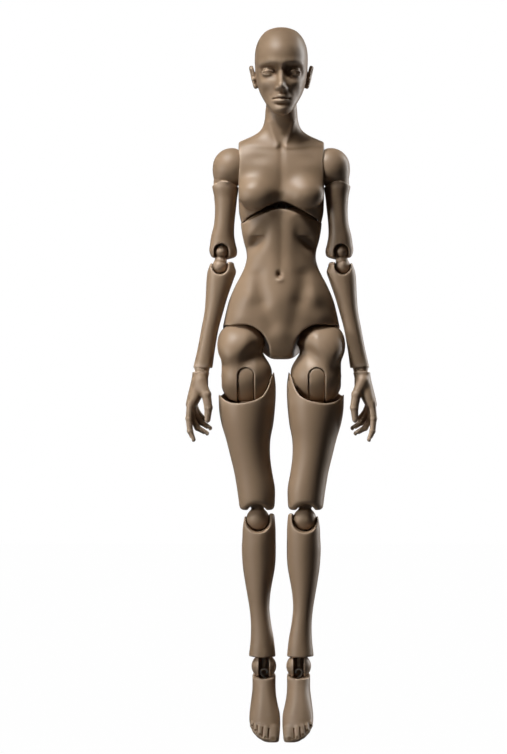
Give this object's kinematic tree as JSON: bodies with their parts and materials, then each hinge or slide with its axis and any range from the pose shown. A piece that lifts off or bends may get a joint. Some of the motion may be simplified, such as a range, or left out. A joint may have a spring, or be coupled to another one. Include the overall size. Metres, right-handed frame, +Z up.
{
  "type": "ball-jointed figure body",
  "caption": "Tall slender female-form figure body with a bald head, strung from hollow castings on elastic so that neck, waist, shoulders, elbows, wrists, hips, thighs, knees and ankles move.",
  "frame": {"origin": "underside of the crotch, in the middle, where a saddle stand holds the figure", "axes": "+Z up, -Y is the way the face looks, +X is the figure's own left side"},
  "size_m": [0.1644, 0.0643, 0.6],
  "materials": {
    "resin": "satin cast resin",
    "steel_wire": "bright drawn wire",
    "magnet": "nickel plated",
    "elastic_cord": "woven cover"
  },
  "bodies": {
    "lower_torso": {"lower_torso": "resin", "leg_elastic_left": "elastic_cord", "leg_elastic_right": "elastic_cord"},
    "chest": {"chest": "resin", "arm_elastic": "elastic_cord"},
    "neck_hook": {"neck_hook": "steel_wire"},
    "head": {"head": "resin", "head_magnet_left": "magnet", "head_magnet_right": "magnet"},
    "head_cap": {"head_cap": "resin", "cap_magnet_left": "magnet", "cap_magnet_right": "magnet"},
    "shoulder_core_left": {"shoulder_core_left": "resin"},
    "shoulder_cap_left": {"shoulder_cap_left": "resin"},
    "upper_arm_left": {"upper_arm_left": "resin"},
    "elbow_core_left": {"elbow_core_left": "resin"},
    "forearm_left": {"forearm_left": "resin"},
    "wrist_ball_left": {"wrist_ball_left": "resin"},
    "upper_thigh_left": {"upper_thigh_left": "resin"},
    "thigh_core_left": {"thigh_core_left": "resin"},
    "lower_thigh_left": {"lower_thigh_left": "resin"},
    "knee_core_left": {"knee_core_left": "resin"},
    "shin_left": {"shin_left": "resin"},
    "ankle_ball_left": {"ankle_ball_left": "resin"},
    "hand_left": {"hand_left": "resin", "wrist_hook_left": "steel_wire"},
    "foot_left": {"foot_left": "resin", "ankle_hook_left": "steel_wire"},
    "shoulder_core_right": {"shoulder_core_right": "resin"},
    "shoulder_cap_right": {"shoulder_cap_right": "resin"},
    "upper_arm_right": {"upper_arm_right": "resin"},
    "elbow_core_right": {"elbow_core_right": "resin"},
    "forearm_right": {"forearm_right": "resin"},
    "wrist_ball_right": {"wrist_ball_right": "resin"},
    "upper_thigh_right": {"upper_thigh_right": "resin"},
    "thigh_core_right": {"thigh_core_right": "resin"},
    "lower_thigh_right": {"lower_thigh_right": "resin"},
    "knee_core_right": {"knee_core_right": "resin"},
    "shin_right": {"shin_right": "resin"},
    "ankle_ball_right": {"ankle_ball_right": "resin"},
    "hand_right": {"hand_right": "resin", "wrist_hook_right": "steel_wire"},
    "foot_right": {"foot_right": "resin", "ankle_hook_right": "steel_wire"}
  },
  "joints": [
    {"name": "waist_bow", "type": "hinge", "parent": "lower_torso", "child": "chest", "pos_m": [0, 0.0005, 0.11], "axis": [1, 0, 0], "range_deg": [-6, 4.5], "deforming": ["leg_elastic_left", "leg_elastic_right"]},
    {"name": "neck_turn", "type": "hinge", "parent": "chest", "child": "neck_hook", "pos_m": [0, 0.0025, 0.216], "axis": [0, 0, 1], "range_deg": [-60, 60]},
    {"name": "neck_nod", "type": "hinge", "parent": "neck_hook", "child": "head", "pos_m": [0, 0.0025, 0.216], "axis": [1, 0, 0], "range_deg": [-12, 7]},
    {"name": "head_cap_pull", "type": "slide", "parent": "head", "child": "head_cap", "axis": [0, 0.9578, 0.2873], "range_m": [0, 0.02]},
    {"name": "shoulder_swing_left", "type": "hinge", "parent": "chest", "child": "shoulder_core_left", "pos_m": [0.0415, 0, 0.1615], "axis": [-1, 0, 0], "range_deg": [-45, 150], "deforming": ["arm_elastic"]},
    {"name": "shoulder_raise_left", "type": "hinge", "parent": "shoulder_core_left", "child": "shoulder_cap_left", "pos_m": [0.0415, 0, 0.1615], "axis": [0, -1, 0], "range_deg": [0, 60], "deforming": ["arm_elastic"]},
    {"name": "upper_arm_swivel_left", "type": "hinge", "parent": "shoulder_cap_left", "child": "upper_arm_left", "pos_m": [0.04737, 0, 0.1476], "axis": [-0.0534, 0, 0.9986], "range_deg": [-35, 35], "deforming": ["arm_elastic"]},
    {"name": "elbow_upper_left", "type": "hinge", "parent": "upper_arm_left", "child": "elbow_core_left", "pos_m": [0.0504, 0, 0.091], "axis": [-1, 0, 0], "range_deg": [0, 60], "deforming": ["arm_elastic"]},
    {"name": "elbow_lower_left", "type": "hinge", "parent": "elbow_core_left", "child": "forearm_left", "pos_m": [0.0518, 0, 0.0782], "axis": [-1, 0, 0], "range_deg": [0, 60], "deforming": ["arm_elastic"]},
    {"name": "wrist_twist_left", "type": "hinge", "parent": "forearm_left", "child": "wrist_ball_left", "pos_m": [0.0666, 0, -0.0085], "axis": [-0.1683, 0, 0.9857], "range_deg": [-80, 80], "deforming": ["arm_elastic"]},
    {"name": "wrist_flex_left", "type": "hinge", "parent": "wrist_ball_left", "child": "hand_left", "pos_m": [0.0666, 0, -0.0085], "axis": [0, 1, 0], "range_deg": [-30, 8], "deforming": ["arm_elastic"]},
    {"name": "hip_flex_left", "type": "hinge", "parent": "lower_torso", "child": "upper_thigh_left", "pos_m": [0.0315, 0.001, 0.0045], "axis": [-1, 0, 0], "range_deg": [-8, 65], "deforming": ["leg_elastic_left"]},
    {"name": "thigh_bend_left", "type": "hinge", "parent": "upper_thigh_left", "child": "thigh_core_left", "pos_m": [0.0298, 0, -0.014], "axis": [-1, 0, 0], "range_deg": [0, 38], "deforming": ["leg_elastic_left"]},
    {"name": "thigh_swivel_left", "type": "hinge", "parent": "thigh_core_left", "child": "lower_thigh_left", "pos_m": [0.0298, 0, -0.014], "axis": [0, 0, -1], "range_deg": [-30, 0], "deforming": ["leg_elastic_left"]},
    {"name": "knee_upper_left", "type": "hinge", "parent": "lower_thigh_left", "child": "knee_core_left", "pos_m": [0.0202, 0, -0.117], "axis": [1, 0, 0], "range_deg": [0, 58], "deforming": ["leg_elastic_left"]},
    {"name": "knee_lower_left", "type": "hinge", "parent": "knee_core_left", "child": "shin_left", "pos_m": [0.0197, 0, -0.1341], "axis": [1, 0, 0], "range_deg": [0, 58], "deforming": ["leg_elastic_left"]},
    {"name": "ankle_turn_left", "type": "hinge", "parent": "shin_left", "child": "ankle_ball_left", "pos_m": [0.0146, 0.001, -0.2576], "axis": [0, 0, 1], "range_deg": [0, 25], "deforming": ["leg_elastic_left"]},
    {"name": "ankle_flex_left", "type": "hinge", "parent": "ankle_ball_left", "child": "foot_left", "pos_m": [0.0146, 0.001, -0.2576], "axis": [-1, 0, 0], "range_deg": [-10, 30], "deforming": ["leg_elastic_left"]},
    {"name": "shoulder_swing_right", "type": "hinge", "parent": "chest", "child": "shoulder_core_right", "pos_m": [-0.0415, 0, 0.1615], "axis": [-1, 0, 0], "range_deg": [-45, 150], "deforming": ["arm_elastic"]},
    {"name": "shoulder_raise_right", "type": "hinge", "parent": "shoulder_core_right", "child": "shoulder_cap_right", "pos_m": [-0.0415, 0, 0.1615], "axis": [0, 1, 0], "range_deg": [0, 60], "deforming": ["arm_elastic"]},
    {"name": "upper_arm_swivel_right", "type": "hinge", "parent": "shoulder_cap_right", "child": "upper_arm_right", "pos_m": [-0.04737, 0, 0.1476], "axis": [-0.0534, 0, -0.9986], "range_deg": [-35, 35], "deforming": ["arm_elastic"]},
    {"name": "elbow_upper_right", "type": "hinge", "parent": "upper_arm_right", "child": "elbow_core_right", "pos_m": [-0.0504, 0, 0.091], "axis": [-1, 0, 0], "range_deg": [0, 60], "deforming": ["arm_elastic"]},
    {"name": "elbow_lower_right", "type": "hinge", "parent": "elbow_core_right", "child": "forearm_right", "pos_m": [-0.0518, 0, 0.0782], "axis": [-1, 0, 0], "range_deg": [0, 60], "deforming": ["arm_elastic"]},
    {"name": "wrist_twist_right", "type": "hinge", "parent": "forearm_right", "child": "wrist_ball_right", "pos_m": [-0.0666, 0, -0.0085], "axis": [-0.1683, 0, -0.9857], "range_deg": [-80, 80], "deforming": ["arm_elastic"]},
    {"name": "wrist_flex_right", "type": "hinge", "parent": "wrist_ball_right", "child": "hand_right", "pos_m": [-0.0666, 0, -0.0085], "axis": [0, -1, 0], "range_deg": [-30, 8], "deforming": ["arm_elastic"]},
    {"name": "hip_flex_right", "type": "hinge", "parent": "lower_torso", "child": "upper_thigh_right", "pos_m": [-0.0315, 0.001, 0.0045], "axis": [-1, 0, 0], "range_deg": [-8, 65], "deforming": ["leg_elastic_right"]},
    {"name": "thigh_bend_right", "type": "hinge", "parent": "upper_thigh_right", "child": "thigh_core_right", "pos_m": [-0.0298, 0, -0.014], "axis": [-1, 0, 0], "range_deg": [0, 38], "deforming": ["leg_elastic_right"]},
    {"name": "thigh_swivel_right", "type": "hinge", "parent": "thigh_core_right", "child": "lower_thigh_right", "pos_m": [-0.0298, 0, -0.014], "axis": [0, 0, 1], "range_deg": [-30, 0], "deforming": ["leg_elastic_right"]},
    {"name": "knee_upper_right", "type": "hinge", "parent": "lower_thigh_right", "child": "knee_core_right", "pos_m": [-0.0202, 0, -0.117], "axis": [1, 0, 0], "range_deg": [0, 58], "deforming": ["leg_elastic_right"]},
    {"name": "knee_lower_right", "type": "hinge", "parent": "knee_core_right", "child": "shin_right", "pos_m": [-0.0197, 0, -0.1341], "axis": [1, 0, 0], "range_deg": [0, 58], "deforming": ["leg_elastic_right"]},
    {"name": "ankle_turn_right", "type": "hinge", "parent": "shin_right", "child": "ankle_ball_right", "pos_m": [-0.0146, 0.001, -0.2576], "axis": [0, 0, -1], "range_deg": [0, 25], "deforming": ["leg_elastic_right"]},
    {"name": "ankle_flex_right", "type": "hinge", "parent": "ankle_ball_right", "child": "foot_right", "pos_m": [-0.0146, 0.001, -0.2576], "axis": [-1, 0, 0], "range_deg": [-10, 30], "deforming": ["leg_elastic_right"]}
  ]
}
